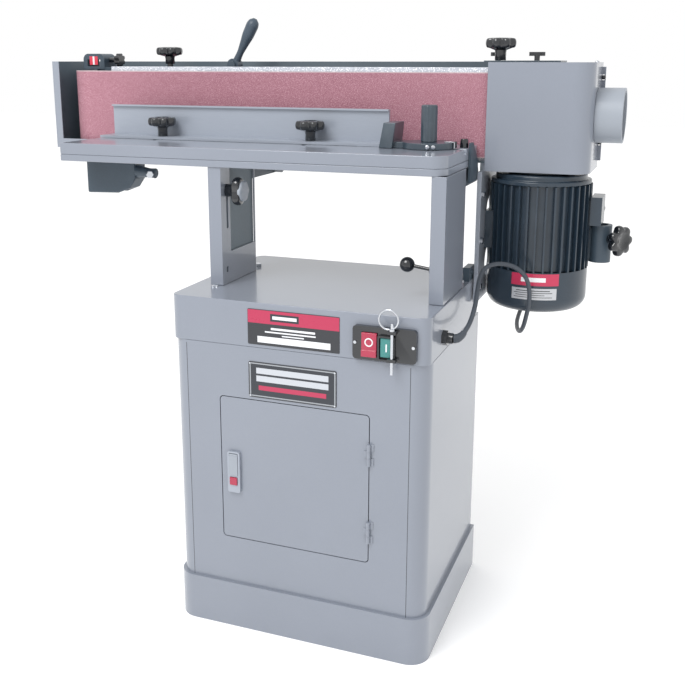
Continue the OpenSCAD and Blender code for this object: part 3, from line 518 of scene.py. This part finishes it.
edge_widths = {
    "table_top": 0.0018, "table_frame": 0.0012, "cab_cap": 0.003, "plinth": 0.0025, "left_column": 0.0008,
    "right_column": 0.0008, "drive_housing": 0.0012, "head_frame": 0.0006, "fence": 0.0007,
    "end_bracket": 0.003, "mitre_head": 0.0012, "motor_plate": 0.0008, "end_bell": 0.002,
    "dust_port": 0.0008, "switch_plate": 0.001, "stop_button": 0.0015, "start_button": 0.0012,
    "latch_body": 0.0008, "latch_button": 0.0008, "junction_box": 0.003, "clamp_post": 0.001,
    "end_plate": 0.0005, "cover_plate": 0.0005, "cover_knobs": 0.001, "platen": 0.0008, "door": 0.0006,
    "mitre_bar": 0.0005, "idler_yoke": 0.001, "carriage": 0.001, "inner_posts": 0.001, "head_arms": 0.002,
    "tilt_catch": 0.001, "latch_paddle": 0.0006}
softened = {node: soften(node, width) for node, width in edge_widths.items()}
print("softened:", len(softened))

# %% [markdown]
# ## Clamp knobs
# The star knobs are glossy mouldings with rounded lobes, a dished top and a turned stem. One turned profile
# does them all: the radius is cut back between lobes, most at the rim and not at all on the stem.


# %% Clamp knobs
def star(name, node, foot, axis, stem, head, lobes, bite=0.24, stud=None, phase=0.0):
    """Knob from an optional stud, a stem (radius, height) and a head (radius, height)."""
    stem_r, stem_h = stem
    head_r, head_h = head
    heights, radii, weight = [], [], []
    if stud:
        heights += [-stud[1], -stud[1], -0.0002]
        radii += [stud[0] * 0.6, stud[0], stud[0]]
        weight += [0, 0, 0]
    heights += [0, 0.0006, stem_h * 0.55, stem_h * 0.82]
    radii += [stem_r * 0.96, stem_r, stem_r * 0.97, stem_r * 1.06]
    weight += [0, 0, 0, 0]
    s = np.linspace(0, 1, 14)
    heights += list(stem_h + head_h * (0.5 - 0.5 * np.cos(np.pi * s)) * 0.96)
    radii += list(head_r * (0.80 + 0.20 * np.sin(np.pi * s) ** 0.7))
    weight += list(0.75 + 0.25 * np.sin(np.pi * s))
    heights += [stem_h + head_h, stem_h + head_h * 0.97, stem_h + head_h * 0.86, stem_h + head_h * 0.86]
    radii += [head_r * 0.66, head_r * 0.52, head_r * 0.44, head_r * 0.02]
    weight += [0.6, 0.2, 0, 0]
    rings = turned_rings(foot, axis, heights, radii, lobes, bite, weight, 96, phase)
    knob = skin(name, rings, 50)
    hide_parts(node)
    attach(knob, body_of[node])
    knob.data.materials.append(finishes["black_plastic"])
    return knob


for node in ("fence_knob_l", "fence_knob_r"):
    x, y, _ = middle(node)
    star("star_" + node, node, (x, y, table_z + 0.0053), (0, 0, 1), (0.0095, 0.020), (0.0278, 0.0165), 7,
         stud=(0.0038, 0.021))
x, y, _ = middle("lock_knob")
star("star_lock_knob", "lock_knob", (x, y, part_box("lock_knob")[1][2] - 0.034), (0, 0, 1), (0.0098, 0.018),
     (0.0278, 0.0158), 7, stud=(0.006, 0.053))
x, y, _ = middle("housing_knob")
star("star_housing_knob", "housing_knob", (x, y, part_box("housing_knob")[0][2]), (0, 0, 1), (0.0102, 0.022),
     (0.0278, 0.0178), 7)
turn = math.radians(35)
clamp_axis = np.array([math.cos(turn), -math.sin(turn), 0])
star("star_clamp_knob", "clamp_knob", pivot("clamp_knob_turn") + clamp_axis * 0.0207, clamp_axis,
     (0.009, 0.017), (0.0288, 0.0148), 7, stud=(0.004, 0.006))
lo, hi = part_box("height_knob")
_, y, z = pivot("height_knob_turn")
star("star_height_knob", "height_knob", (lo[0] + 0.0125, y, z), (1, 0, 0), (0.0112, 0.017),
     (0.0262, 0.0148), 3, bite=0.34, stud=(0.003, 0.012))
cap_rings = turned_rings((hi[0] - 0.0065, y, z), (1, 0, 0), [0, 0.0045, 0.0062, 0.0066],
                         [0.0188, 0.0188, 0.0165, 0.004], 6, 0.07, [1, 1, 1, 0], 48)
knob_cap = skin("height_knob_cap", cap_rings)
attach(knob_cap, "height_knob")
knob_cap.data.materials.append(finishes["port_grey"])
print("table top at z", round(table_z, 4), "m, height knob at", y, z)

# %% [markdown]
# ## Mitre handle and tension lever
# The mitre handle is a straight round grip with shallow flutes. The tension lever is a cast bat: a thin
# neck that swells into a rounded grip, with a small hub on its pivot pin.

# %% Mitre handle and tension lever
x, y, _ = middle("mitre_handle")
base = table_z + 0.0116
tall = float(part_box("mitre_handle")[1][2]) - base
grip_heights = [-0.0112, -0.0002, 0, 0.0008, 0.002, tall * 0.5, tall - 0.003, tall - 0.0012, tall]
grip_radii = [0.0049, 0.0049, 0.0132, 0.0145, 0.0145, 0.0145, 0.0145, 0.0138, 0.0122]
flute_depth = [0, 0, 0, 0.5, 1, 1, 1, 0.5, 0]
grip = turned_rings((x, y, base), (0, 0, 1), grip_heights, grip_radii, 12, 0.05, flute_depth, 96)
handle = skin("mitre_grip", grip, 25)
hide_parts("mitre_handle")
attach(handle, "mitre_handle")
handle.data.materials.append(finishes["mitre_black"])

lever_foot = pivot("tension_lever_swing")
lean = math.radians(28)
lever_axis = np.array([math.sin(lean), 0, math.cos(lean)])
s = np.linspace(0, 1, 40)
swell = np.interp(s, [0, 0.1, 0.2, 0.42, 0.6, 0.86, 0.95, 1.0],
                  [0.0075, 0.0068, 0.0066, 0.0092, 0.0118, 0.0125, 0.0098, 0.0030])
swell = np.convolve(np.pad(swell, 1, mode="edge"), [0.25, 0.5, 0.25], mode="valid")
bat = skin("tension_bat", turned_rings(lever_foot, lever_axis, 0.011 + s * 0.0905, swell, sides=48), 60)
hub = skin("tension_hub", turned_rings(lever_foot - [0, 0.0118, 0], (0, 1, 0), [0, 0.0012, 0.0224, 0.0236],
                                       [0.0118, 0.0128, 0.0128, 0.0118], sides=48), 30)
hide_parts("tension_lever")
for piece in (bat, hub):
    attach(piece, "tension_lever")
    piece.data.materials.append(lever_paint)
print("mitre grip", round(tall, 4), "m tall, lever pivot", lever_foot)

# %% [markdown]
# ## Small fittings
# A rubber stop closes the table's slot, an arm with a hexagon nut stands out of the end bracket, and small
# screws hold the dust flange, the drive housing, the mitre head and the cabinet's cap. Each is a turned
# skin, and the nut is one with six sides.


# %% Turned fittings
def fitting(name, body, mat, foot, axis, heights, radii, sides=40):
    """A turned skin on a body: one radius at each height above its foot."""
    piece = skin(name, turned_rings(foot, axis, heights, radii, sides=sides), 30)
    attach(piece, body)
    piece.data.materials.append(finishes[mat])
    return piece


fitting("slot_stop", "table", "black_plastic", (0.219, 0.074, table_z), (0, 0, 1),
        [0, 0.001, 0.012, 0.0155, 0.016], [0.0072, 0.0078, 0.0070, 0.0058, 0.003])
bracket_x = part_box("end_bracket")[1][0]
fitting("bracket_arm", "table", "dark_casting", (bracket_x - 0.0005, -0.008, 0.806), (1, -0.1, -0.04),
        [0, 0.001, 0.012, 0.030, 0.042, 0.043], [0.011, 0.012, 0.0105, 0.0085, 0.0095, 0.006])
fitting("bracket_nut", "table", "bright_steel", (bracket_x + 0.035, -0.019, 0.8035), (0.35, -1, -0.05),
        [0, 0.0006, 0.0062, 0.007], [0.0070, 0.0076, 0.0076, 0.0064], sides=6)
house_lo, house_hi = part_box("drive_housing")
for i, z in enumerate((float(house_lo[2]) + 0.047, float(house_hi[2]) - 0.027)):
    fitting(f"flange_screw_{i}", "head", "black_plastic", (float(house_hi[0]) - 0.0035, 0.261, z), (0, -1, 0),
            [0, 0.0005, 0.0025, 0.0032], [0.0036, 0.004, 0.0036, 0.002])
fitting("housing_top_screw", "head", "bright_steel", (0.418, 0.262, float(house_hi[2])), (0, 0, 1),
        [0, 0.0006, 0.002, 0.003], [0.004, 0.0042, 0.0035, 0.001])
for i, a in enumerate((-78, -66)):
    a = math.radians(a)
    out = np.array([math.cos(a), math.sin(a), 0])
    foot = pivot("mitre_turn") + [0, 0, -0.0003] + out * 0.0455
    fitting(f"mitre_screw_{i}", "mitre_head", "bright_steel", foot, out, [0, 0.0005, 0.0025, 0.0035],
            [0.0034, 0.0038, 0.0034, 0.0015])
for i, x in enumerate((-0.1915, -0.1845)):
    fitting(f"column_screw_{i}", "stand", "bright_steel", (x, -0.101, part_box("cab_cap")[1][2]), (0, 0, 1),
            [0, 0.0005, 0.0022, 0.003], [0.0032, 0.0036, 0.003, 0.001])

# %% [markdown]
# ## Wrapped and flat labels
# The fan cover carries two printed plates that follow its curve. Each is a grid wrapped round a cylinder:
# one parameter is the angle, the other the height. A second grid half a millimetre further in and a rim
# close it. The tracking bracket's label, the mitre head's small tab and the start mark are flat slabs, and
# the stop mark is a ring.


# %% Curved plates
def wrapped_plate(name, body, centre, radius, a0, a1, z0, z1, mat):
    """Points at the radius, for angles from a0 to a1 degrees and heights from z0 to z1."""
    a, z = np.meshgrid(np.radians(np.linspace(a0, a1, 25)), np.linspace(z0, z1, 5))
    grid = np.stack([centre[0] + radius * np.cos(a), centre[1] + radius * np.sin(a), z], -1)
    rows, cols = a.shape
    i, k = np.meshgrid(np.arange(rows - 1), np.arange(cols - 1), indexing="ij")
    q = i * cols + k
    quads = np.stack([q, q + 1, q + 1 + cols, q + cols], -1).reshape(-1, 4)
    inner = grid - np.stack([np.cos(a), np.sin(a), np.zeros_like(a)], -1) * 0.0005
    n = rows * cols
    edge = np.concatenate([np.arange(cols), np.arange(1, rows) * cols + cols - 1,
                           (rows - 1) * cols + np.arange(cols - 2, -1, -1),
                           np.arange(rows - 2, 0, -1) * cols])
    rim = np.stack([edge, np.roll(edge, -1), np.roll(edge, -1) + n, edge + n], -1)
    verts = np.vstack([grid.reshape(-1, 3), inner.reshape(-1, 3)])
    faces = quads.tolist() + (quads[:, ::-1] + n).tolist() + rim.tolist()
    piece = new_piece(name, verts, faces)
    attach(piece, body)
    piece.data.materials.append(mat)
    return piece


motor_mid = middle("fan_cover")
cover_lo, cover_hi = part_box("fan_cover")
cover_r = (cover_hi[0] - cover_lo[0]) / 2 + 0.0005
cover_top = float(cover_hi[2])
red_made = finish("red_plate", lin(180, 36, 72), lin(198, 50, 88), (0.3, 0.4), coat=0.3, bump=0.03)
red_plate = paint_patches(red_made, [((0.345, 0.11, cover_top - 0.0125), (0.022, 0.03, 0.0040),
                                      lin(232, 232, 234))])
grey_made = finish("rating_plate", lin(176, 178, 182), lin(204, 206, 210), (0.3, 0.42), metal=0.3, bump=0.03)
ink = lin(60, 62, 66)
rating_plate = paint_patches(grey_made, [
    ((0.345, 0.11, cover_top - 0.033), (0.030, 0.03, 0.0008), ink),
    ((0.345, 0.11, cover_top - 0.037), (0.034, 0.03, 0.0006), ink),
    ((0.340, 0.11, cover_top - 0.041), (0.026, 0.03, 0.0006), ink),
    ((0.345, 0.11, cover_top - 0.045), (0.034, 0.03, 0.0006), ink)])
wrapped_plate("fan_plate_red", "head", motor_mid, cover_r, -110, -56, cover_top - 0.0235, cover_top - 0.0015,
              red_plate)
wrapped_plate("fan_plate_grey", "head", motor_mid, cover_r, -109, -58, cover_top - 0.0495, cover_top - 0.0285,
              rating_plate)
red_label = paint_patches(finish("bracket_label", lin(200, 50, 70), lin(214, 64, 84), (0.3, 0.4), bump=0.03),
                          [((-0.613, 0.181, 1.013), (0.0022, 0.01, 0.02), white)])

print("fan cover radius with its plates:", round(float(cover_r), 4), "m")


# %% Flat marks
def plate(name, body, lo, hi, mat):
    """A thin slab from corner lo to corner hi, with its edges rounded by a bevel of 0.3 mm."""
    lo, hi = np.asarray(lo, float), np.asarray(hi, float)
    corner = np.array([[x, y, z] for x in (0, 1) for y in (0, 1) for z in (0, 1)])
    verts = lo + corner * (hi - lo)
    faces = [(0, 1, 3, 2), (4, 6, 7, 5), (0, 4, 5, 1), (2, 3, 7, 6), (0, 2, 6, 4), (1, 5, 7, 3)]
    piece = new_piece(name, verts, faces)
    b = piece.modifiers.new("edge_round", "BEVEL")
    b.width = 0.0003
    b.segments = 2
    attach(piece, body)
    piece.data.materials.append(mat)
    return piece


yoke_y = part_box("idler_yoke")[0][1]
plate("bracket_label", "idler_yoke", (-0.623, yoke_y - 0.0005, 1.004), (-0.603, yoke_y, 1.0215), red_label)
ink_white = finish("switch_ink", lin(224, 226, 228), lin(238, 239, 240), (0.4, 0.5), bump=0.03)[0]
stop_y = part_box("stop_button")[0][1]
start_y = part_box("start_button")[0][1]
plate("mitre_tab", "mitre_head", (0.1945, 0.030, 0.8755), (0.2125, 0.046, 0.8772), finishes["bright_steel"])
plate("mitre_tab_end", "mitre_head", (0.2108, 0.030, 0.8655), (0.2128, 0.046, 0.8772),
      finishes["bright_steel"])
ring_t = np.linspace(0, 2 * np.pi, 33)[:-1]
ring_r = 0.0062
mark_z = 0.5735
ring = np.stack([middle("stop_button")[0] + ring_r * np.cos(ring_t), np.full(32, stop_y + 0.0021),
                 mark_z + ring_r * np.sin(ring_t)], -1)
mark_o = skin("mark_off", tube_rings(np.vstack([ring, ring[:1]]), 0.0011, 10), 60)
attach(mark_o, "stop_button")
mark_o.data.materials.append(ink_white)
x = middle("start_button")[0]
plate("mark_on", "start_button", (x - 0.0012, start_y - 0.0004, 0.5605),
      (x + 0.0012, start_y + 0.0004, mark_z), ink_white)

# %% [markdown]
# ## Finishes on the nodes that stay as the CAD made them
# Every node has a material slot in the CAD model, and each slot has one finish. A few softened copies take
# a finish of their own, and the cabinet's front takes the enamel with the two seam lines.

# %% Assign the rest
for piece in lead_pieces:
    piece.data.materials.append(finishes["cord_rubber"])
for piece, surface in ((softened["platen"], platen_painted_glints), (softened["inner_posts"], post_grey_and_shade),
                       (softened["latch_body"], finishes["fence_metal"]),
                       (softened["latch_paddle"], finishes["port_grey"])):
    piece.data.materials[0] = surface
for name, node in frame["nodes"].items():
    node.data.materials.clear()
    node.data.materials.append(front_sheet if name == "cab_front" else finishes[slot_of[name]])

# %% [markdown]
# ## Studio
# A plain pale floor and an even white surround give soft shading without hard shadows. One broad light,
# high in front and a little to the left, picks out the front faces and the rounded edges.

# %% Studio
size = 14.0
n = 9
gx, gy = np.meshgrid(np.linspace(-size, size, n), np.linspace(-size, size, n))
i, k = np.meshgrid(np.arange(n - 1), np.arange(n - 1), indexing="ij")
q = i * n + k
floor = new_piece("studio_floor", np.stack([gx, gy, np.zeros_like(gx)], -1).reshape(-1, 3),
                  np.stack([q, q + 1, q + 1 + n, q + n], -1).reshape(-1, 4))
pale, t, shader, place, colour = finish("studio_floor", lin(250, 250, 250), lin(254, 254, 254),
                                        (0.7, 0.9), fine=40, broad=1, bump=0.0)
t.links.new(colour, shader.inputs["Emission Color"])
shader.inputs["Emission Strength"].default_value = 0.12
floor.data.materials.append(pale)

world = bpy.data.worlds.new("studio")
world.use_nodes = True
world.node_tree.nodes["Background"].inputs[0].default_value = (1, 1, 1, 1)
world.node_tree.nodes["Background"].inputs[1].default_value = 1.0
bpy.context.scene.world = world
bpy.context.scene.view_settings.view_transform = "Standard"


def soft_light(name, place, aim, side, power):
    """A square area light of that side in metres and power in watts, turned from its place to its aim."""
    light = bpy.data.lights.new(name, "AREA")
    light.size = side
    light.energy = power
    lamp = bpy.data.objects.new(name, light)
    bpy.context.scene.collection.objects.link(lamp)
    lamp.location = place
    direction = np.asarray(aim, float) - np.asarray(place)
    flat = math.hypot(direction[0], direction[1])
    heading = math.atan2(direction[1], direction[0]) - math.pi / 2
    lamp.rotation_euler = (math.atan2(flat, -direction[2]), 0, heading)
    return lamp


key = soft_light("key", (-0.5, -1.6, 2.6), (0, 0, 0.8), 1.3, 44)
print("floor", 2 * size, "m wide, key light", key.data.energy, "W")
